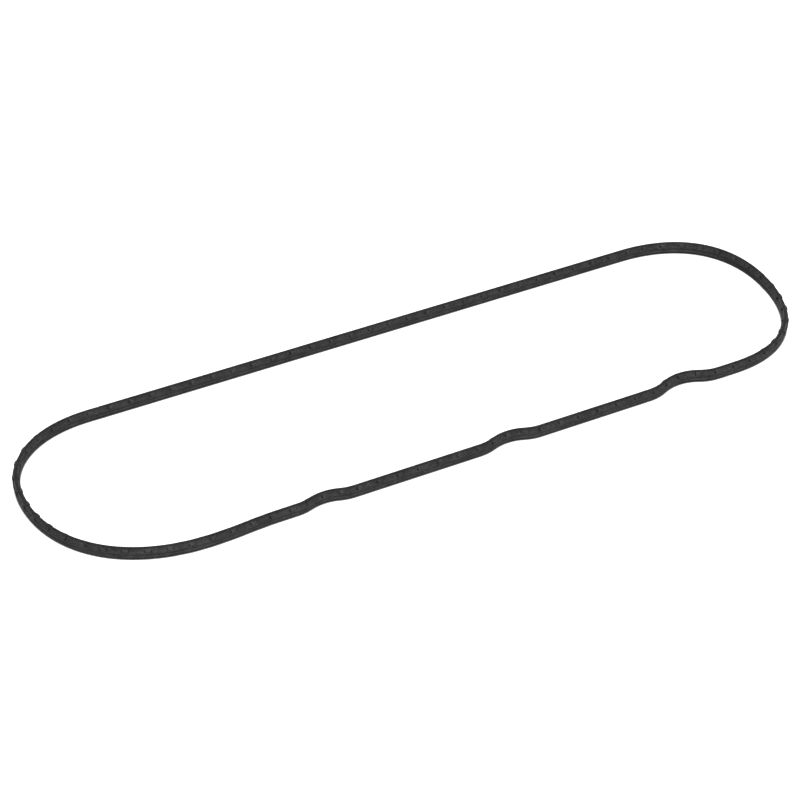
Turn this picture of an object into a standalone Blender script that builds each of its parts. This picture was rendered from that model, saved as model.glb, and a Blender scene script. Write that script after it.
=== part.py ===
"""Valve cover gasket: a rubber seal moulded in one piece, a closed loop that runs round the cover's rim.

Metres, +Z up. The seal lies flat on its sealing foot. The origin is under the middle of the loop, +X runs
along the loop and +Y points to its straight side. The side at -Y bulges a little at the left, and steps in
at three notches, one at each bolt boss of the cover.

The section, from the bottom: a foot that seals on the cylinder head, a neck that lets the foot flex, a
shoulder, and a rib that presses into the cover's groove, with a fillet where it leaves the shoulder. Nubs
on both walls of the rib grip the groove. They stand closest together in the notches.
"""

import math
from bisect import bisect_right

import bmesh
import bpy
from mathutils import Vector
from mathutils.geometry import interpolate_bezier

MM = 0.001

# Plan of the loop, along the middle of the seal
WIDTH = 125.3 * MM                  # straight side to the bulge of the notched side
BULGE = 1.9 * MM                    # how far the bulge stands out past the notched side
BULGE_STEP = 41.0 * MM              # length over which the bulge goes back to the notched side
BULGE_TO_NOTCH = 8.3 * MM           # straight run before the first notch
NOTCH_PITCH = 111.76 * MM           # notch to notch, the pitch of the bolt bosses
NOTCH_DEPTHS = (2.8 * MM, 3.6 * MM, 5.3 * MM)
NOTCH_RADIUS = 26.5 * MM            # bends of each notch
NOTCH_TO_CORNER = 11.0 * MM         # straight run after the last notch

# Ends of the loop: each corner leaves its side this far from the tip
LEFT_BULGE_CORNER = 79.0 * MM
LEFT_STRAIGHT_CORNER = 57.0 * MM
RIGHT_NOTCHED_CORNER = 60.5 * MM
RIGHT_STRAIGHT_CORNER = 63.5 * MM
LEFT_TIP_RISE = 10.0 * MM           # the tips lie nearer the straight side than the middle by this
RIGHT_TIP_RISE = 3.8 * MM
LEFT_FULLNESS = 0.60                # handle of a corner's curve, as a share of its run
RIGHT_FULLNESS = 0.625

# Section, widths measured across the seal
FOOT_FLAT = 2.2 * MM
FOOT_WIDTH = 3.4 * MM
NECK_WIDTH = 2.7 * MM
SHOULDER_WIDTH = 4.1 * MM
SHOULDER_CHAMFER = 0.3 * MM
RIB_WIDTH = 2.3 * MM                # above the fillet
RIB_TOP_WIDTH = 1.9 * MM
RIB_FILLET = 0.6 * MM
RIB_CHAMFER = 0.25 * MM

# Section, heights from the bottom up
FOOT_CHAMFER_HEIGHT = 0.8 * MM
FOOT_SIDE_HEIGHT = 1.0 * MM
FOOT_SLOPE_HEIGHT = 0.4 * MM
NECK_HEIGHT = 1.2 * MM
SHOULDER_SLOPE_HEIGHT = 0.4 * MM
SHOULDER_EDGE_HEIGHT = 0.8 * MM
RIB_HEIGHT = 2.3 * MM

# Nubs, one pair at each place
NUB_PITCH = 11.6 * MM               # as near as whole spaces allow
STRAIGHT_NUB_PITCH = 12.38 * MM     # on the straight side
STRAIGHT_NUB_SHIFT = 3.0 * MM       # of its middle nub, towards the right end
NOTCH_NUB_PITCH = 10.0 * MM
NOTCH_NUB_REACH = 20.0 * MM         # how far from a notch's crest that pitch holds
NUB_LENGTH = 3.4 * MM
NUB_DRAFT = 0.25 * MM               # each end leans in by this
NUB_WIDTH = 4.4 * MM                # over both nubs of a pair
NUB_LIFT = 0.15 * MM                # gap under the nub's face, above the shoulder
NUB_FACE_HEIGHT = 0.85 * MM

# Rubber
RUBBER_COLOUR = (0.045, 0.045, 0.047, 1.0)
RUBBER_ROUGHNESS = 0.55

# How finely the curves are cut
PLAN_STEP = 0.5 * MM
CORNER_POINTS = 240
TURN_PER_SPAN = math.radians(5.0)
SHARP_ANGLE = math.radians(30.0)


def clear_scene():
    """Take away everything that the file opened with."""
    for item in list(bpy.data.objects):
        bpy.data.objects.remove(item, do_unlink=True)


class Pen:
    """Draws a plan curve in tangent runs, and keeps its points and its heading."""

    def __init__(self, start, heading=0.0):
        self.points = [Vector(start)]
        self.heading = heading
        self.crests = []

    def line(self, length):
        step = Vector((math.cos(self.heading), math.sin(self.heading))) * length
        self.points.append(self.points[-1] + step)

    def bend(self, radius, turn):
        """An arc: a positive turn bends to the left, a negative one to the right."""
        steps = math.ceil(radius * abs(turn) / PLAN_STEP)
        part = turn / steps
        chord = 2.0 * radius * math.sin(abs(part) / 2.0)
        for _ in range(steps):
            self.heading += part / 2.0
            self.line(chord)
            self.heading += part / 2.0

    def sidestep(self, run, shift):
        """Two equal arcs that carry the curve sideways and leave its heading as it was."""
        radius = (run ** 2 + shift ** 2) / (4.0 * shift)
        turn = 2.0 * math.atan(shift / run)
        self.bend(radius, turn)
        self.bend(radius, -turn)

    def notch(self, depth, radius):
        """A dip to the left and back, with its crest in the middle."""
        turn = notch_turn(depth, radius)
        self.bend(radius, turn)
        self.bend(radius, -turn)
        self.crests.append(len(self.points) - 1)
        self.bend(radius, -turn)
        self.bend(radius, turn)


def notch_turn(depth, radius):
    return math.acos(1.0 - depth / (2.0 * radius))


def notch_half_run(depth, radius):
    return 2.0 * radius * math.sin(notch_turn(depth, radius))


def corner(start, end, fullness, level_first):
    """A quarter turn between a level side and a tip, as one smooth curve without its last point."""
    across = Vector((end.x - start.x, 0.0))
    along = Vector((0.0, end.y - start.y))
    first, last = (across, along) if level_first else (along, across)
    curve = interpolate_bezier(start, start + first * fullness, end - last * fullness, end,
                               CORNER_POINTS)
    return curve[:-1]


def plan_of_loop():
    """The middle line of the seal, counter-clockwise seen from above, from the left tip.

    With it go the places in the line of the notches' crests and of the straight side's first point.
    """
    straight_y = WIDTH / 2.0
    bulge_y = -WIDTH / 2.0
    side = Pen((0.0, bulge_y))
    side.sidestep(BULGE_STEP, BULGE)
    side.line(BULGE_TO_NOTCH)
    half_runs = [notch_half_run(depth, NOTCH_RADIUS) for depth in NOTCH_DEPTHS]
    for place, depth in enumerate(NOTCH_DEPTHS):
        side.notch(depth, NOTCH_RADIUS)
        if place + 1 < len(NOTCH_DEPTHS):
            side.line(NOTCH_PITCH - half_runs[place] - half_runs[place + 1])
    side.line(NOTCH_TO_CORNER)
    length = LEFT_BULGE_CORNER + side.points[-1].x + RIGHT_NOTCHED_CORNER

    left_tip = Vector((-length / 2.0, LEFT_TIP_RISE))
    right_tip = Vector((length / 2.0, RIGHT_TIP_RISE))
    shift = Vector((left_tip.x + LEFT_BULGE_CORNER, 0.0))
    notched_side = [point + shift for point in side.points]
    right_start = Vector((right_tip.x - RIGHT_STRAIGHT_CORNER, straight_y))
    left_start = Vector((left_tip.x + LEFT_STRAIGHT_CORNER, straight_y))
    points = corner(left_tip, notched_side[0], LEFT_FULLNESS, level_first=False)
    crests = [len(points) + crest for crest in side.crests]
    points += notched_side[:-1]
    points += corner(notched_side[-1], right_tip, RIGHT_FULLNESS, level_first=True)
    points += corner(right_tip, right_start, RIGHT_FULLNESS, level_first=False)
    straight = len(points)
    points.append(right_start)
    points += corner(left_start, left_tip, LEFT_FULLNESS, level_first=True)
    return points, crests, straight


class Loop:
    """A closed plan curve that is read by the distance along it."""

    def __init__(self, points):
        self.points = [Vector(point) for point in points]
        closed = self.points + self.points[:1]
        self.starts = [0.0]
        for a, b in zip(closed, closed[1:]):
            self.starts.append(self.starts[-1] + (b - a).length)
        self.length = self.starts[-1]

    def point(self, distance):
        distance %= self.length
        index = min(bisect_right(self.starts, distance) - 1, len(self.points) - 1)
        a = self.points[index]
        b = self.points[(index + 1) % len(self.points)]
        span = self.starts[index + 1] - self.starts[index]
        return a.lerp(b, (distance - self.starts[index]) / span)

    def heading(self, distance):
        """Unit direction of travel."""
        ahead = self.point(distance + PLAN_STEP)
        behind = self.point(distance - PLAN_STEP)
        return (ahead - behind).normalized()

    def turning(self, start, end):
        """How far the curve turns between two distances, with both senses added up."""
        steps = max(1, math.ceil((end - start) / PLAN_STEP))
        headings = [self.heading(start + (end - start) * i / steps) for i in range(steps + 1)]
        return sum(abs(a.angle_signed(b)) for a, b in zip(headings, headings[1:]))

    def place(self, distance, offset, height):
        """A point beside the curve: the offset is positive outside the loop."""
        heading = self.heading(distance)
        outward = Vector((heading.y, -heading.x))
        spot = self.point(distance) + outward * offset
        return Vector((spot.x, spot.y, height))


def section_levels():
    """Heights of the section's corners, from the bottom up."""
    heights = (FOOT_CHAMFER_HEIGHT, FOOT_SIDE_HEIGHT, FOOT_SLOPE_HEIGHT, NECK_HEIGHT,
               SHOULDER_SLOPE_HEIGHT, SHOULDER_EDGE_HEIGHT, RIB_HEIGHT)
    levels = [0.0]
    for height in heights:
        levels.append(levels[-1] + height)
    return levels


def half_section():
    """One side of the section from the top down, as (distance from the middle, height).

    It comes in three runs: above the nubs, the corner of rib and shoulder that a nub fills, and below it.
    """
    bottom, foot_low, foot_high, neck_low, neck_high, edge_low, edge_high, top = section_levels()
    bulk = RIB_FILLET * (1.0 - math.sqrt(0.5))
    above = [(RIB_TOP_WIDTH / 2.0 - RIB_CHAMFER, top)]
    corner_run = [
        (RIB_TOP_WIDTH / 2.0, top - RIB_CHAMFER),
        (RIB_WIDTH / 2.0, edge_high + RIB_FILLET),
        (RIB_WIDTH / 2.0 + bulk, edge_high + bulk),
        (SHOULDER_WIDTH / 2.0 - SHOULDER_CHAMFER, edge_high),
    ]
    below = [
        (SHOULDER_WIDTH / 2.0, edge_high - SHOULDER_CHAMFER),
        (SHOULDER_WIDTH / 2.0, edge_low),
        (NECK_WIDTH / 2.0, neck_high),
        (NECK_WIDTH / 2.0, neck_low),
        (FOOT_WIDTH / 2.0, foot_high),
        (FOOT_WIDTH / 2.0, foot_low),
        (FOOT_FLAT / 2.0, bottom),
    ]
    return above, corner_run, below


def nub_places(loop, crests, straight):
    """Distances round the loop of the nubs' middles.

    The nubs of the notches and of the straight side are set out first, and the rest are spread between.
    The last notch keeps its own pitch up to its crest only.
    """
    before = round(NOTCH_NUB_REACH / NOTCH_NUB_PITCH)
    groups = []
    for crest in crests:
        after = 0 if crest == crests[-1] else before
        groups.append([loop.starts[crest] + NOTCH_NUB_PITCH * space for space in range(-before, after + 1)])
    run = loop.starts[straight + 1] - loop.starts[straight]
    middle = loop.starts[straight] + run / 2.0 - STRAIGHT_NUB_SHIFT
    half = round(run / 2.0 / STRAIGHT_NUB_PITCH)
    groups.append([middle + STRAIGHT_NUB_PITCH * space for space in range(-half, half + 1)])
    places = []
    next_starts = [group[0] for group in groups[1:]] + [groups[0][0] + loop.length]
    for group, next_start in zip(groups, next_starts):
        places.extend(group)
        gap = next_start - group[-1]
        spaces = max(1, round(gap / NUB_PITCH))
        places.extend(group[-1] + gap * space / spaces for space in range(1, spaces))
    return places


def stations(loop, places):
    """Distances round the loop where a section stands, and whether a nub spans to the next one."""
    marks = []
    for place, next_place in zip(places, places[1:] + [places[0] + loop.length]):
        nub_end = place + NUB_LENGTH / 2.0
        next_start = next_place - NUB_LENGTH / 2.0
        marks.append((place - NUB_LENGTH / 2.0, True))
        spans = max(1, math.ceil(loop.turning(nub_end, next_start) / TURN_PER_SPAN))
        for part in range(spans):
            marks.append((nub_end + (next_start - nub_end) * part / spans, False))
    return marks


def add_nub(mesh, loop, start, ring, next_ring, side, filled):
    """Fill the corner of rib and shoulder over one span, on the outer (+1) or inner (-1) wall."""
    heel_height = section_levels()[-2] + NUB_LIFT
    crown_height = heel_height + NUB_FACE_HEIGHT
    offset = side * NUB_WIDTH / 2.0
    ends = []
    for section, distance in ((ring, start + NUB_DRAFT), (next_ring, start + NUB_LENGTH - NUB_DRAFT)):
        crown = mesh.verts.new(loop.place(distance, offset, crown_height))
        heel = mesh.verts.new(loop.place(distance, offset, heel_height))
        edge, root, fillet, rim = (section[k] for k in filled)
        ends.append((edge, crown, heel, rim))
        for a, b in ((root, edge), (edge, crown), (crown, heel), (heel, rim)):
            mesh.faces.new((fillet, a, b))
    for row in range(len(ends[0]) - 1):
        mesh.faces.new((ends[0][row], ends[0][row + 1], ends[1][row + 1], ends[1][row]))


def sweep_seal(mesh, loop, places):
    """Carry the section round the loop, with a pair of nubs over each nub span."""
    above, corner_run, below = half_section()
    half = above + corner_run + below
    section = half + [(-offset, height) for offset, height in reversed(half)]
    count = len(section)
    outer = range(len(above), len(above) + len(corner_run))
    inner = [count - 1 - k for k in outer]
    covered = set(outer[:-1]) | set(inner[1:])
    marks = stations(loop, places)
    rings = [[mesh.verts.new(loop.place(distance, offset, height)) for offset, height in section]
             for distance, _ in marks]
    for index, (distance, has_nub) in enumerate(marks):
        ring = rings[index]
        next_ring = rings[(index + 1) % len(rings)]
        for k in range(count):
            if has_nub and k in covered:
                continue
            k_next = (k + 1) % count
            mesh.faces.new((ring[k], ring[k_next], next_ring[k_next], next_ring[k]))
        if has_nub:
            for side, filled in ((1, outer), (-1, inner)):
                add_nub(mesh, loop, distance, ring, next_ring, side, filled)


def rubber():
    material = bpy.data.materials.new("black_rubber")
    material.use_nodes = True
    shader = material.node_tree.nodes["Principled BSDF"]
    shader.inputs["Base Color"].default_value = RUBBER_COLOUR
    shader.inputs["Roughness"].default_value = RUBBER_ROUGHNESS
    shader.inputs["Metallic"].default_value = 0.0
    return material


def rubber_seal():
    mesh = bmesh.new()
    points, crests, straight = plan_of_loop()
    loop = Loop(points)
    sweep_seal(mesh, loop, nub_places(loop, crests, straight))
    bmesh.ops.recalc_face_normals(mesh, faces=mesh.faces)
    data = bpy.data.meshes.new("rubber_seal")
    mesh.to_mesh(data)
    mesh.free()
    data.shade_smooth()
    data.set_sharp_from_angle(angle=SHARP_ANGLE)
    data.materials.append(rubber())
    seal = bpy.data.objects.new("rubber_seal", data)
    bpy.context.scene.collection.objects.link(seal)
    return seal


def main():
    clear_scene()
    rubber_seal()


main()
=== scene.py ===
"""Valve cover gasket: the finished look of the moulded rubber seal, on a pale studio floor.

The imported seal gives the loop's middle line and the places of the nubs. One stretch of the seal with its
pair of nubs is modelled, repeated in a row, spaced out to those places and bent along the line.
"""

import math
from bisect import bisect

import bmesh
import bpy
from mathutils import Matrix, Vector


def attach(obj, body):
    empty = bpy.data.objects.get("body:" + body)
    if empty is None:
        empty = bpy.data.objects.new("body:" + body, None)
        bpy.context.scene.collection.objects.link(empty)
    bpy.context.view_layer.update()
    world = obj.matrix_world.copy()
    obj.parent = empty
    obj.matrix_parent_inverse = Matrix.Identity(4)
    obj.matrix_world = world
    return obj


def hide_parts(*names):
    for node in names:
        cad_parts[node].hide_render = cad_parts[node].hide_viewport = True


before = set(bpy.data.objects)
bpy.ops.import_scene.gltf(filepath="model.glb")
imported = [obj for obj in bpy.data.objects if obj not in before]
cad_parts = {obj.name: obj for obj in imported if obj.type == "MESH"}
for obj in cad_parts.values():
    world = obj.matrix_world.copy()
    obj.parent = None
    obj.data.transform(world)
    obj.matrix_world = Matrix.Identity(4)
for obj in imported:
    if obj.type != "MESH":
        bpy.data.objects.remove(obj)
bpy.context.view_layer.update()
seal_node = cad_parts["rubber_seal"]

bl_info = {
    "name": "Valve Cover Gasket",
    "version": (1, 0, 0),
    "blender": (4, 5, 0),
    "location": "View3D > Sidebar > Gasket",
    "description": "Builds a ribbed rubber valve cover gasket and its studio stage",
    "category": "Add Mesh",
}

WELD = 0.00001
CURVE_STEPS = 12
LONGEST_SPAN = 0.0045
HEELS_PER_PAIR = 4
FLOOR_DROP = 0.0002
SMOOTH_ANGLE = math.radians(35.0)

# Height above the floor and the painted shade there: a darker foot, neck and rib top, and a painted highlight
# along the shoulder's rim
HEIGHT_SHADE_TONES = ((0.0, 0.45), (0.0009, 0.50), (0.0014, 0.70), (0.0018, 1.0), (0.0022, 0.86), (0.0026, 0.74),
                (0.0034, 0.74), (0.0038, 0.82), (0.0043, 0.92), (0.0045, 1.08), (0.0048, 1.0), (0.0064, 1.0),
                (0.0067, 0.60), (0.0069, 0.42))


def length(name, description, default):
    return bpy.props.FloatProperty(name=name, description=description, default=default, min=0.0,
                                   precision=5, unit="LENGTH", subtype="DISTANCE")


def share(name, description, default):
    return bpy.props.FloatProperty(name=name, description=description, default=default, min=0.0, max=1.0,
                                   subtype="FACTOR")


def colour(name, description, default):
    return bpy.props.FloatVectorProperty(name=name, description=description, default=default, size=3,
                                         min=0.0, max=1.0, subtype="COLOR")


def amount(name, description, default, unit="NONE"):
    return bpy.props.FloatProperty(name=name, description=description, default=default, min=0.0, unit=unit)


def turn(name, description, degrees):
    return bpy.props.FloatProperty(name=name, description=description, default=math.radians(degrees),
                                   subtype="ANGLE", unit="ROTATION")


def position(name, description, default):
    return bpy.props.FloatVectorProperty(name=name, description=description, default=default, size=3,
                                         subtype="TRANSLATION", unit="LENGTH")


class SealSizes(bpy.types.PropertyGroup):
    """Sizes of the seal's section and of its nubs."""

    foot_flat: length("Foot flat", "Width of the flat that seals on the head", 0.0022)
    foot_width: length("Foot width", "Widest part of the foot", 0.0034)
    neck_width: length("Neck width", "Width of the neck between foot and shoulder", 0.0027)
    shoulder_width: length("Shoulder width", "Width of the shoulder", 0.0041)
    rib_width: length("Rib width", "Width of the rib above its fillet", 0.0023)
    rib_top_width: length("Rib top width", "Width of the rib at its top", 0.0019)
    foot_chamfer_height: length("Foot chamfer height", "Height of the foot's lower slope", 0.0008)
    foot_side_height: length("Foot side height", "Height of the foot's upright side", 0.0010)
    foot_slope_height: length("Foot slope height", "Height of the slope up to the neck", 0.0004)
    neck_height: length("Neck height", "Height of the neck", 0.0012)
    shoulder_slope_height: length("Shoulder slope height", "Height of the slope out to the shoulder", 0.0004)
    shoulder_edge_height: length("Shoulder edge height", "Height of the shoulder's upright edge", 0.0008)
    rib_height: length("Rib height", "Height of the rib above the shoulder", 0.0023)
    rib_round: length("Rib round", "Radius along the rib's top", 0.00025)
    fillet: length("Fillet", "Radius where the rib leaves the shoulder", 0.0006)
    shoulder_round: length("Shoulder round", "Radius along the shoulder's rim", 0.0003)
    edge_round: length("Edge round", "Softening of the smaller edges", 0.00008)
    pitch: length("Pitch", "Length of the stretch that is modelled", 0.0116)
    plain_cuts: bpy.props.IntProperty(name="Plain cuts", description="Cuts in each half of the plain stretch",
                                      default=3, min=1)
    nub_length: length("Nub length", "Length of a nub along the seal", 0.0034)
    nub_draft: length("Nub draft", "How far each end of a nub leans in", 0.00025)
    nub_width: length("Nub width", "Width over both nubs of a pair", 0.0044)
    nub_lift: length("Nub lift", "Height of the nub's sole above the shoulder", 0.00015)
    nub_face_height: length("Nub face height", "Height of the nub's upright face", 0.00085)
    nub_arch: length("Nub arch", "How much lower a nub's crown is at its ends", 0.0003)
    slot_width: length("Slot width", "Width of the relief slot beside each end of a nub", 0.0006)
    slot_depth: length("Slot depth", "Depth of the relief slot in the rib's wall", 0.00015)
    slot_roof: length("Slot roof", "Height of rib left whole above each slot", 0.0004)


class RubberLook(bpy.types.PropertyGroup):
    """Colours and surface of the rubber."""

    dark: colour("Dark rubber", "Colour of clean rubber", (0.0255, 0.0255, 0.026))
    light: colour("Light rubber", "Colour of rubber with a grey bloom", (0.046, 0.046, 0.0465))
    # Painted shade: the dark colour that the slots, the nubs and the loop's two ends are mixed towards
    painted_shade: colour("Recess", "Colour that slots and worn parts turn to", (0.004, 0.004, 0.004))
    # Painted shade in the slots and on the nubs
    painted_slot_shade: share("Slot shade", "How far the slots turn to the recess colour", 0.2)
    # Painted shade: the loop's two ends are darkened from the shoulder down, where less light falls on them
    painted_end_shade: share("End shade", "How far the loop's two ends do, up to the shoulder", 0.5)
    end_start: length("End start", "Distance from the middle at which the ends start to turn", 0.216)
    end_full: length("End full", "Distance from the middle at which the ends have turned", 0.230)
    patch_size: length("Patch size", "Size of the uneven patches of bloom", 0.005)
    mottle_size: length("Mottle size", "Size of the small mottling", 0.0012)
    mottle_depth: share("Mottle depth", "How much lighter and darker the mottling is", 0.32)
    grain_size: length("Grain size", "Size of the fine moulded grain", 0.00035)
    grain_depth: length("Grain depth", "Depth of the grain", 0.00003)
    grain_strength: share("Grain strength", "Strength of the grain's relief", 0.35)
    smoothest: share("Smoothest", "Roughness in the grain's hollows", 0.46)
    roughest: share("Roughest", "Roughness on the grain's heights", 0.64)
    specular: share("Specular", "Strength of the surface's reflection", 0.12)


class StageLook(bpy.types.PropertyGroup):
    """Camera and lights."""

    azimuth: turn("Azimuth", "Turn of the camera round the seal", -26.47)
    elevation: turn("Elevation", "Camera's angle above the floor", 38.95)
    distance: length("Distance", "Camera to the point it looks at", 1.3486)
    lens: bpy.props.FloatProperty(name="Lens", description="Focal length of the camera", default=108.0,
                                  min=1.0, unit="CAMERA")
    target: position("Target", "Point in the middle of the picture", (-0.01235, -0.00062, 0.00178))
    floor_size: length("Floor size", "Side of the floor", 12.0)
    floor_colour: colour("Floor", "Colour of the floor", (0.90, 0.90, 0.90))
    floor_bounce: colour("Floor bounce", "Colour of the light that the floor throws back up", (0.22, 0.22, 0.22))
    floor_glow: amount("Floor glow", "Extra light from the floor", 0.6)
    # Painted contact shadow on the floor under the seal's foot
    contact_shadow_colour: colour("Contact colour", "Colour of the floor close under the seal", (0.1, 0.1, 0.1))
    contact_reach: length("Contact reach", "How far the shade at the foot reaches over the floor", 0.0011)
    box_size: length("Box size", "Side of each soft box", 1.4)
    surround: amount("Surround", "Strength of the soft light all round", 0.17)
    key_place: position("Key place", "Where the soft box in front stands", (-0.35, -1.5, 1.5))
    key_power: amount("Key power", "Power of the soft box in front", 53.0, "POWER")
    back_place: position("Back place", "Where the soft box behind stands", (0.1, 1.5, 1.1))
    back_power: amount("Back power", "Power of the soft box behind", 24.0, "POWER")


def pick_faces(test):
    """In edit mode, select just the faces that pass the test."""
    bpy.ops.mesh.select_mode(type="FACE")
    bpy.ops.mesh.select_all(action="DESELECT")
    mesh = bmesh.from_edit_mesh(bpy.context.object.data)
    for face in mesh.faces:
        if test(face):
            face.select_set(True)
    mesh.select_flush_mode()
    bmesh.update_edit_mesh(bpy.context.object.data)


def extrude(rise, widening):
    """Extrude the picked faces up or down and scale their width about the seal's middle."""
    bpy.ops.mesh.extrude_region_move(TRANSFORM_OT_translate={"value": (0.0, 0.0, rise)})
    bpy.ops.transform.resize(value=(1.0, widening, 1.0), center_override=(0.0, 0.0, 0.0))


def cut(place):
    """Cut the mesh across at a distance along it."""
    bpy.ops.mesh.select_all(action="SELECT")
    bpy.ops.mesh.bisect(plane_co=(place, 0.0, 0.0), plane_no=(1.0, 0.0, 0.0))


def blend(a, b, part):
    return tuple(first + (last - first) * part for first, last in zip(a, b))


def arc(centre, radius, first, last, steps):
    """Points of an arc in the section, between two angles in degrees from level."""
    angles = [math.radians(first + (last - first) * step / steps) for step in range(steps + 1)]
    return [(centre[0] + radius * math.cos(angle), centre[1] + radius * math.sin(angle)) for angle in angles]


def rim_loops(mesh):
    """The two edges of the foot's flat, each as a closed run of points, the outer one first."""
    sole = {face for face in mesh.faces if all(abs(vert.co.z) < WELD for vert in face.verts)}
    left = [edge for edge in mesh.edges if len(sole.intersection(edge.link_faces)) == 1]
    loops = []
    while left:
        first, last = left.pop().verts
        walk = [first, last]
        while walk[-1] is not first:
            edge = next(edge for edge in walk[-1].link_edges if edge in left)
            left.remove(edge)
            walk.append(edge.other_vert(walk[-1]))
        loops.append([vert.co.xy for vert in walk[:-1]])
    return sorted(loops, key=lambda points: min(point.x for point in points))


def read_seal(node, sizes):
    """The seal's middle line, counter-clockwise, and the points of the nubs' heels.

    The line ends at the point that lies furthest from any nub, which is where a closed curve bends from.
    Its long spans are cut into short ones.
    """
    mesh = bmesh.new()
    mesh.from_mesh(node.data)
    bmesh.ops.remove_doubles(mesh, verts=mesh.verts, dist=WELD)
    outer, inner = rim_loops(mesh)
    heel = section_heights(sizes)[-2] + sizes.nub_lift
    heels = [vert.co.xy for vert in mesh.verts if abs(vert.co.z - heel) < WELD]
    mesh.free()
    corners = [(point + min(outer, key=lambda other: (other - point).length)) / 2.0 for point in inner]
    if sum(a.cross(b) for a, b in zip(corners, corners[1:] + corners[:1])) < 0.0:
        corners.reverse()
    points = []
    for a, b in zip(corners, corners[1:] + corners[:1]):
        parts = math.ceil((b - a).length / LONGEST_SPAN)
        points += [a.lerp(b, part / parts) for part in range(parts)]
    clear = [min((point - heel).length for heel in heels) for point in points]
    start = clear.index(max(clear)) + 1
    return points[start:] + points[:start], heels


def loop_curve(points):
    """A closed smooth curve through the points."""
    data = bpy.data.curves.new("loop_line", "CURVE")
    data.dimensions = "3D"
    data.twist_mode = "Z_UP"
    data.resolution_u = CURVE_STEPS
    spline = data.splines.new("BEZIER")
    spline.bezier_points.add(len(points) - 1)
    for knot, point in zip(spline.bezier_points, points):
        knot.co = (point.x, point.y, 0.0)
        knot.handle_left_type = "AUTO"
        knot.handle_right_type = "AUTO"
    spline.use_cyclic_u = True
    curve = bpy.data.objects.new("loop_line", data)
    bpy.context.scene.collection.objects.link(curve)
    return curve


def nub_distances(curve, heels):
    """How far the middle of each nub lies from the curve's last point, and the curve's whole length."""
    data = curve.to_mesh()
    spots = [vert.co.xy for vert in data.vertices]
    curve.to_mesh_clear()
    distances = [0.0]
    for a, b in zip(spots, spots[1:] + spots[:1]):
        distances.append(distances[-1] + (b - a).length)
    total = distances[-1]
    lead = total - distances[-1 - CURVE_STEPS]
    found = []
    for heel in heels:
        gaps = [(spot - heel).length_squared for spot in spots]
        near = gaps.index(min(gaps))
        ahead = (spots[(near + 1) % len(spots)] - spots[near - 1]).normalized()
        found.append((lead + distances[near] + (heel - spots[near]).dot(ahead)) % total)
    found.sort()
    pairs = [found[first:first + HEELS_PER_PAIR] for first in range(0, len(found), HEELS_PER_PAIR)]
    return [sum(pair) / HEELS_PER_PAIR for pair in pairs], total


def section_heights(sizes):
    """Heights of the section's corners, from the bottom up."""
    heights = [0.0]
    for step in (sizes.foot_chamfer_height, sizes.foot_side_height, sizes.foot_slope_height, sizes.neck_height,
                 sizes.shoulder_slope_height, sizes.shoulder_edge_height, sizes.rib_height):
        heights.append(heights[-1] + step)
    return heights


def plain_wall(sizes):
    """The rib's wall between nubs, from the slots' roof down to the shoulder."""
    *_, shoulder, top = section_heights(sizes)
    rib = sizes.rib_width / 2.0
    edge = (sizes.rib_top_width / 2.0, top - sizes.rib_round)
    root = (rib, shoulder + sizes.fillet)
    roof = (sizes.slot_roof - sizes.rib_round) / (edge[1] - root[1])
    below = roof + sizes.slot_roof / 4.0 / (edge[1] - root[1])
    run = arc((rib + sizes.fillet, shoulder + sizes.fillet), sizes.fillet, 180.0, 270.0, 3)
    return [blend(edge, root, roof), blend(edge, root, below), blend(edge, root, 0.6)] + run


def slot_wall(sizes):
    """The same run of points where a slot is sunk into the wall."""
    roof, *rest, shoulder = plain_wall(sizes)
    floor = sizes.rib_top_width / 2.0 - sizes.slot_depth
    sunk = [(floor, height) for _, height in rest[:-1]]
    return [roof] + sunk + [(sizes.rib_top_width / 2.0, rest[-1][1]), shoulder]


def nub_wall(sizes, drop):
    """The same run of points over a nub whose crown is lower by the drop."""
    *_, shoulder, top = section_heights(sizes)
    edge = (sizes.rib_top_width / 2.0, top - sizes.rib_round)
    out = sizes.nub_width / 2.0
    heel = shoulder + sizes.nub_lift
    crown = heel + sizes.nub_face_height - drop
    soft = sizes.edge_round
    return [blend(edge, (out, crown), 0.15), blend(edge, (out, crown), 0.5),
            blend(edge, (out, crown), 0.88), (out - soft / 2.0, crown - soft), (out, crown - 3.0 * soft),
            (out, heel + 2.0 * soft), (out - soft, heel)]


def section(sizes, wall):
    """One side of the section from the top down, as (distance from the middle, height)."""
    bottom, foot_low, foot_high, neck_low, neck_high, edge_low, edge_high, top = section_heights(sizes)
    rib = sizes.rib_top_width / 2.0
    shoulder = sizes.shoulder_width / 2.0
    neck = sizes.neck_width / 2.0
    foot = sizes.foot_width / 2.0
    soft = sizes.edge_round
    rim = arc((shoulder - sizes.shoulder_round, edge_high - sizes.shoulder_round), sizes.shoulder_round,
              90.0, 0.0, 2)
    return (arc((rib - sizes.rib_round, top - sizes.rib_round), sizes.rib_round, 90.0, 0.0, 2) + wall + rim[1:]
            + [(shoulder, edge_low + soft), (shoulder - soft, edge_low - soft / 2.0),
               (neck + soft, neck_high + soft / 2.0), (neck, neck_high - soft),
               (neck, neck_low + soft), (neck + soft, neck_low - soft),
               (foot - soft, foot_high + soft), (foot, foot_high - soft),
               (foot, foot_low + soft), (foot - soft, foot_low - soft),
               (sizes.foot_flat / 2.0, bottom)])


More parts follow.
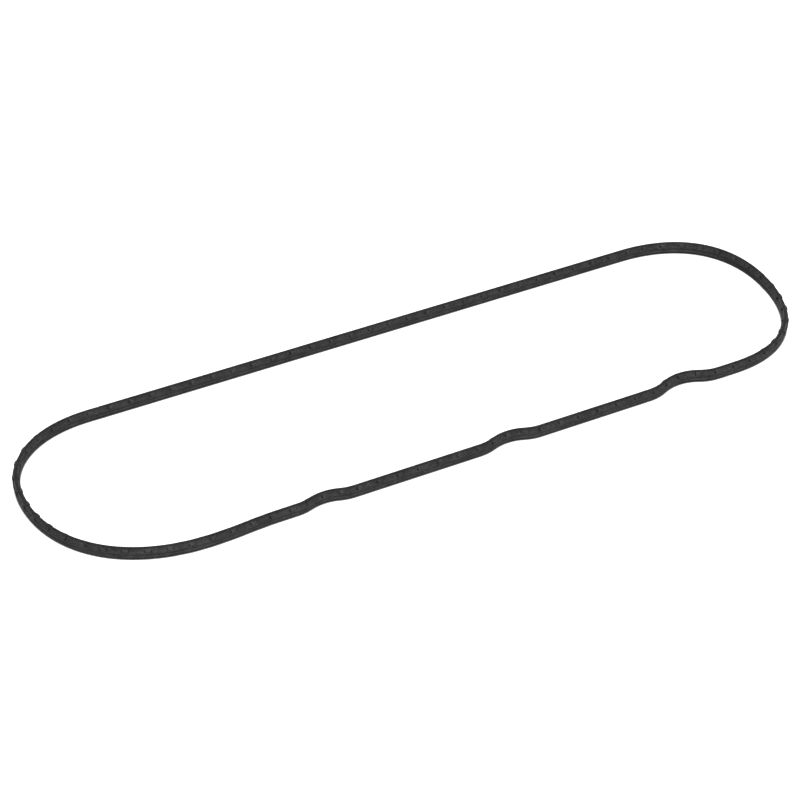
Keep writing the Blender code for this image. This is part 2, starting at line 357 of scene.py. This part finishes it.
def section_block(sizes):
    """A plain stretch of the seal, pulled down and up from a block at the shoulder's upright edge."""
    rings = section(sizes, plain_wall(sizes))
    shoulder = sizes.shoulder_width / 2.0
    upper = max(place for place, (width, _) in enumerate(rings) if width > shoulder - WELD) - 1
    high = rings[upper][1]
    low = rings[upper + 1][1]
    bpy.ops.mesh.primitive_cube_add(size=1.0, location=(sizes.pitch / 2.0, 0.0, (low + high) / 2.0),
                                    scale=(sizes.pitch, 2.0 * shoulder, high - low))
    seal = bpy.context.object
    seal.name = "moulded_seal"
    bpy.ops.object.transform_apply(location=True, rotation=True, scale=True)
    bpy.ops.object.mode_set(mode="EDIT")
    for up, run in ((-1.0, rings[upper + 1:]), (1.0, rings[upper::-1])):
        pick_faces(lambda face: face.normal.z * up > 0.9)
        for (old_width, old_height), (width, height) in zip(run, run[1:]):
            extrude(height - old_height, width / old_width)
    pick_faces(lambda face: abs(face.normal.x) > 0.9)
    bpy.ops.mesh.delete(type="FACE")
    return seal


def nub_columns(sizes):
    """Distances from the nub's middle where the wall changes, with the wall and its share of shade.

    A slot is fully shaded, and a nub is darkest at its ends.
    """
    half = sizes.nub_length / 2.0
    end = half - sizes.nub_draft
    soft = sizes.edge_round
    return [(half + sizes.slot_width + soft, plain_wall(sizes), 0.0),
            (half + sizes.slot_width, slot_wall(sizes), 1.0),
            (half, slot_wall(sizes), 1.0),
            (end + soft / 2.0, nub_wall(sizes, 1.4 * sizes.nub_arch), 0.9),
            (end - soft, nub_wall(sizes, 0.9 * sizes.nub_arch), 0.5),
            (0.6 * end, nub_wall(sizes, 0.3 * sizes.nub_arch), 0.45),
            (0.0, nub_wall(sizes, 0.0), 0.45)]


def shape_nubs(sizes):
    """Cut the stretch across and move the wall's points to their places in the slots and on the nubs."""
    middle = sizes.pitch / 2.0
    columns = nub_columns(sizes)
    columns += [(-offset, wall, shade) for offset, wall, shade in columns[:-1]]
    widest = columns[0][0]
    for offset, _, _ in columns:
        cut(middle + offset)
    for place in range(1, sizes.plain_cuts + 1):
        distance = (middle - widest) * place / (sizes.plain_cuts + 0.5)
        cut(distance)
        cut(sizes.pitch - distance)
    rings = plain_wall(sizes)
    mesh = bmesh.from_edit_mesh(bpy.context.object.data)
    # The shade layer holds each point's share of painted shade: full in the slots, less on the nubs
    layer = mesh.verts.layers.float.new("shade")
    for vert in mesh.verts:
        offset, wall, shade = min(columns, key=lambda column: abs(vert.co.x - middle - column[0]))
        if abs(vert.co.x - middle - offset) > WELD:
            continue
        gaps = [math.hypot(abs(vert.co.y) - width, vert.co.z - height) for width, height in rings]
        ring = gaps.index(min(gaps))
        if gaps[ring] < WELD:
            width, height = wall[ring]
            vert.co.y = math.copysign(width, vert.co.y)
            vert.co.z = height
            vert[layer] = shade if 0 < ring < len(rings) - 1 else 0.0
    bmesh.update_edit_mesh(bpy.context.object.data)
    return widest


def space_out(seal, sizes, places, total, block):
    """Move the row's points along, so that each nub keeps its shape and stands at its own place."""
    old = [0.0]
    new = [0.0]
    for index, place in enumerate(places):
        old += [(index + 0.5) * sizes.pitch - block, (index + 0.5) * sizes.pitch + block]
        new += [place - block, place + block]
    old.append(len(places) * sizes.pitch)
    new.append(total)
    for vert in seal.data.vertices:
        run = min(max(bisect(old, vert.co.x), 1), len(old) - 1)
        part = (vert.co.x - old[run - 1]) / (old[run] - old[run - 1])
        vert.co.x = new[run - 1] + (new[run] - new[run - 1]) * part


def bend_round(seal, sizes, curve, places, total, block):
    """Repeat the stretch, space it out, bend it along the line and close the seam."""
    bpy.ops.object.mode_set(mode="OBJECT")
    row = seal.modifiers.new("row", "ARRAY")
    row.count = len(places)
    row.use_relative_offset = False
    row.use_constant_offset = True
    row.constant_offset_displace = (sizes.pitch, 0.0, 0.0)
    row.use_merge_vertices = True
    row.merge_threshold = WELD
    bpy.ops.object.modifier_apply(modifier=row.name)
    space_out(seal, sizes, places, total, block)
    bend = seal.modifiers.new("bend", "CURVE")
    bend.object = curve
    bend.deform_axis = "POS_X"
    bpy.ops.object.modifier_apply(modifier=bend.name)
    bpy.ops.object.mode_set(mode="EDIT")
    bpy.ops.mesh.select_all(action="SELECT")
    bpy.ops.mesh.remove_doubles(threshold=WELD)
    bpy.ops.mesh.normals_make_consistent(inside=False)
    bpy.ops.object.mode_set(mode="OBJECT")
    bpy.ops.object.shade_smooth_by_angle(angle=SMOOTH_ANGLE)


def noise(tree, size, detail, place):
    node = tree.nodes.new("ShaderNodeTexNoise")
    node.inputs["Scale"].default_value = 1.0 / size
    node.inputs["Detail"].default_value = detail
    tree.links.new(place.outputs["Object"], node.inputs["Vector"])
    return node.outputs["Fac"]


def span(tree, value, low, high, new_low, new_high):
    """A value taken from one range to another, and held there."""
    node = tree.nodes.new("ShaderNodeMapRange")
    for name, number in (("From Min", low), ("From Max", high), ("To Min", new_low), ("To Max", new_high)):
        node.inputs[name].default_value = number
    tree.links.new(value, node.inputs["Value"])
    return node.outputs["Result"]


def blend_colours(tree, mode, share_of_second, first, second):
    """Two colours mixed. The share and each colour are a number or colour, or an output."""
    node = tree.nodes.new("ShaderNodeMix")
    node.data_type = "RGBA"
    node.blend_type = mode
    for place, given in ((0, share_of_second), (6, first), (7, second)):
        if isinstance(given, bpy.types.NodeSocket):
            tree.links.new(given, node.inputs[place])
        else:
            node.inputs[place].default_value = given
    return node.outputs[2]


def painted_height_shade(tree, level, top):
    """The painted shade and highlight for the height above the floor."""
    ramp = tree.nodes.new("ShaderNodeValToRGB")
    stops = ramp.color_ramp.elements
    while len(stops) < len(HEIGHT_SHADE_TONES):
        stops.new(0.5)
    for stop, (height, tone) in zip(stops, HEIGHT_SHADE_TONES):
        stop.position = height / top
        stop.color = (tone, tone, tone, 1.0)
    tree.links.new(span(tree, level, 0.0, top, 0.0, 1.0), ramp.inputs["Fac"])
    return ramp.outputs["Color"]


def painted_end_shade(tree, parts, look, shoulder):
    """How far the painted shade darkens the seal from the shoulder down, at the two ends of the loop."""
    far = tree.nodes.new("ShaderNodeMath")
    far.operation = "ABSOLUTE"
    tree.links.new(parts.outputs["X"], far.inputs[0])
    both = tree.nodes.new("ShaderNodeMath")
    both.operation = "MULTIPLY"
    tree.links.new(span(tree, far.outputs["Value"], look.end_start, look.end_full, 0.0, 1.0), both.inputs[0])
    tree.links.new(span(tree, parts.outputs["Z"], shoulder - 0.0002, shoulder + 0.0006, look.painted_end_shade, 0.0),
                   both.inputs[1])
    return both.outputs["Value"]


def rubber(look, shoulder, top):
    """Black moulded rubber with a fine grain, mottling and an uneven grey bloom, with painted shade and
    highlight by height, and painted shade in the slots, on the nubs and at the loop's ends.
    """
    material = bpy.data.materials.new("moulded_rubber")
    material.use_nodes = True
    tree = material.node_tree
    shader = tree.nodes["Principled BSDF"]
    shader.inputs["Metallic"].default_value = 0.0
    shader.inputs["Specular IOR Level"].default_value = look.specular
    place = tree.nodes.new("ShaderNodeTexCoord")
    parts = tree.nodes.new("ShaderNodeSeparateXYZ")
    tree.links.new(place.outputs["Object"], parts.inputs["Vector"])
    patches = span(tree, noise(tree, look.patch_size, 4.0, place), 0.35, 0.68, 0.0, 1.0)
    mottle = span(tree, noise(tree, look.mottle_size, 3.0, place), 0.3, 0.7,
                  1.0 - look.mottle_depth, 1.0 + look.mottle_depth)
    grain = noise(tree, look.grain_size, 3.0, place)
    shade = tree.nodes.new("ShaderNodeAttribute")
    shade.attribute_name = "shade"

    base = blend_colours(tree, "MIX", patches, (*look.dark, 1.0), (*look.light, 1.0))
    base = blend_colours(tree, "MULTIPLY", 1.0, base, mottle)
    # Painted shade and highlight by height above the floor
    base = blend_colours(tree, "MULTIPLY", 1.0, base, painted_height_shade(tree, parts.outputs["Z"], top))
    # Painted shade at the loop's two ends, from the shoulder down
    base = blend_colours(tree, "MIX", painted_end_shade(tree, parts, look, shoulder), base, (*look.painted_shade, 1.0))
    # Painted shade in the slots and on the nubs, from the shade layer
    base = blend_colours(tree, "MIX", span(tree, shade.outputs["Fac"], 0.0, 1.0, 0.0, look.painted_slot_shade), base,
                         (*look.painted_shade, 1.0))
    tree.links.new(base, shader.inputs["Base Color"])
    tree.links.new(span(tree, grain, 0.3, 0.7, look.smoothest, look.roughest), shader.inputs["Roughness"])

    bump = tree.nodes.new("ShaderNodeBump")
    bump.inputs["Strength"].default_value = look.grain_strength
    bump.inputs["Distance"].default_value = look.grain_depth
    tree.links.new(grain, bump.inputs["Height"])
    tree.links.new(bump.outputs["Normal"], shader.inputs["Normal"])
    return material


class GASKET_OT_seal(bpy.types.Operator):
    """Build the rubber seal with its rib, its shoulder, its foot and its nubs"""

    bl_idname = "gasket.seal"
    bl_label = "Rubber Seal"

    def execute(self, context):
        sizes = context.scene.seal_sizes
        bpy.ops.object.select_all(action="DESELECT")
        points, heels = read_seal(seal_node, sizes)
        curve = loop_curve(points)
        bpy.context.view_layer.update()
        places, total = nub_distances(curve, heels)
        seal = section_block(sizes)
        block = shape_nubs(sizes)
        bend_round(seal, sizes, curve, places, total, block)
        bpy.data.objects.remove(curve, do_unlink=True)
        seal.data.materials.clear()
        seal.data.materials.append(rubber(context.scene.rubber_look, *section_heights(sizes)[-2:]))
        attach(seal, "root")
        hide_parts("rubber_seal")
        return {"FINISHED"}


def light_path_mix(tree, plain, seen):
    """Show one shader to light and another to the camera, to gloss and to glass."""
    path = tree.nodes.new("ShaderNodeLightPath")
    first = tree.nodes.new("ShaderNodeMath")
    first.operation = "MAXIMUM"
    second = tree.nodes.new("ShaderNodeMath")
    second.operation = "MAXIMUM"
    mix = tree.nodes.new("ShaderNodeMixShader")
    tree.links.new(path.outputs["Is Camera Ray"], first.inputs[0])
    tree.links.new(path.outputs["Is Glossy Ray"], first.inputs[1])
    tree.links.new(first.outputs["Value"], second.inputs[0])
    tree.links.new(path.outputs["Is Transmission Ray"], second.inputs[1])
    tree.links.new(second.outputs["Value"], mix.inputs["Fac"])
    tree.links.new(plain, mix.inputs[1])
    tree.links.new(seen, mix.inputs[2])
    return mix


def floor_material(look):
    """Pale paint, white to the camera, with a painted contact shadow close to whatever stands on the floor."""
    material = bpy.data.materials.new("studio_floor")
    material.use_nodes = True
    tree = material.node_tree
    tree.nodes.clear()
    plain = tree.nodes.new("ShaderNodeBsdfDiffuse")
    plain.inputs["Color"].default_value = (*look.floor_bounce, 1.0)
    # Painted contact shadow: the paint darkens and the glow fades where the seal stands close
    nearness = tree.nodes.new("ShaderNodeAmbientOcclusion")
    nearness.inputs["Distance"].default_value = look.contact_reach
    nearness.samples = 16
    clear = span(tree, nearness.outputs["AO"], 0.4, 0.8, 0.0, 1.0)
    paint = tree.nodes.new("ShaderNodeBsdfDiffuse")
    tree.links.new(blend_colours(tree, "MIX", clear, (*look.contact_shadow_colour, 1.0), (*look.floor_colour, 1.0)),
                   paint.inputs["Color"])
    glow = tree.nodes.new("ShaderNodeEmission")
    tree.links.new(span(tree, clear, 0.0, 1.0, 0.0, look.floor_glow), glow.inputs["Strength"])
    both = tree.nodes.new("ShaderNodeAddShader")
    tree.links.new(paint.outputs["BSDF"], both.inputs[0])
    tree.links.new(glow.outputs["Emission"], both.inputs[1])
    mix = light_path_mix(tree, plain.outputs["BSDF"], both.outputs["Shader"])
    output = tree.nodes.new("ShaderNodeOutputMaterial")
    tree.links.new(mix.outputs["Shader"], output.inputs["Surface"])
    return material


def studio_world(look):
    """Soft white light all round, and plain white behind the floor."""
    world = bpy.data.worlds.new("studio")
    bpy.context.scene.world = world
    world.use_nodes = True
    tree = world.node_tree
    tree.nodes.clear()
    soft = tree.nodes.new("ShaderNodeBackground")
    soft.inputs["Color"].default_value = (1.0, 1.0, 1.0, 1.0)
    soft.inputs["Strength"].default_value = look.surround
    white = tree.nodes.new("ShaderNodeBackground")
    white.inputs["Color"].default_value = (1.0, 1.0, 1.0, 1.0)
    white.inputs["Strength"].default_value = 1.0
    mix = light_path_mix(tree, soft.outputs["Background"], white.outputs["Background"])
    output = tree.nodes.new("ShaderNodeOutputWorld")
    tree.links.new(mix.outputs["Shader"], output.inputs["Surface"])


def soft_box(name, place, size, watts, in_gloss):
    """A square lamp that faces the middle of the seal. It may be kept out of gloss."""
    bpy.ops.object.light_add(type="AREA", location=place)
    lamp = bpy.context.object
    lamp.name = name
    lamp.data.shape = "SQUARE"
    lamp.data.size = size
    lamp.data.energy = watts
    lamp.visible_glossy = in_gloss
    lamp.rotation_euler = (-Vector(place)).to_track_quat("-Z", "Y").to_euler()


class GASKET_OT_stage(bpy.types.Operator):
    """Set up the pale floor, the soft lights and the camera"""

    bl_idname = "gasket.stage"
    bl_label = "Studio Stage"

    def execute(self, context):
        look = context.scene.stage_look
        bpy.ops.object.select_all(action="DESELECT")
        bpy.ops.mesh.primitive_plane_add(size=look.floor_size, location=(0.0, 0.0, -FLOOR_DROP))
        floor = context.object
        floor.name = "studio_floor"
        floor.data.materials.append(floor_material(look))
        studio_world(look)
        soft_box("key_box", look.key_place, look.box_size, look.key_power, True)
        soft_box("back_box", look.back_place, look.box_size, look.back_power, False)
        facing = Vector((math.sin(look.azimuth) * math.cos(look.elevation),
                         -math.cos(look.azimuth) * math.cos(look.elevation),
                         math.sin(look.elevation)))
        bpy.ops.object.camera_add(location=Vector(look.target) + facing * look.distance,
                                  rotation=(-facing).to_track_quat("-Z", "Y").to_euler())
        camera = context.object
        camera.data.lens = look.lens
        camera.data.sensor_width = 36.0
        camera.data.clip_start = 0.01
        context.scene.camera = camera
        context.scene.view_settings.view_transform = "Standard"
        return {"FINISHED"}


class GASKET_PT_sidebar(bpy.types.Panel):
    bl_label = "Valve Cover Gasket"
    bl_idname = "GASKET_PT_sidebar"
    bl_space_type = "VIEW_3D"
    bl_region_type = "UI"
    bl_category = "Gasket"

    def draw(self, context):
        scene = context.scene
        for operator, group in (("gasket.seal", scene.seal_sizes), (None, scene.rubber_look),
                                ("gasket.stage", scene.stage_look)):
            if operator:
                self.layout.operator(operator)
            column = self.layout.column()
            for name in group.__annotations__:
                column.prop(group, name)


CLASSES = (SealSizes, RubberLook, StageLook, GASKET_OT_seal, GASKET_OT_stage, GASKET_PT_sidebar)


def register():
    for item in CLASSES:
        bpy.utils.register_class(item)
    bpy.types.Scene.seal_sizes = bpy.props.PointerProperty(type=SealSizes)
    bpy.types.Scene.rubber_look = bpy.props.PointerProperty(type=RubberLook)
    bpy.types.Scene.stage_look = bpy.props.PointerProperty(type=StageLook)


def unregister():
    del bpy.types.Scene.stage_look
    del bpy.types.Scene.rubber_look
    del bpy.types.Scene.seal_sizes
    for item in reversed(CLASSES):
        bpy.utils.unregister_class(item)


def main():
    register()
    bpy.ops.gasket.seal()
    bpy.ops.gasket.stage()


if __name__ == "__main__":
    main()
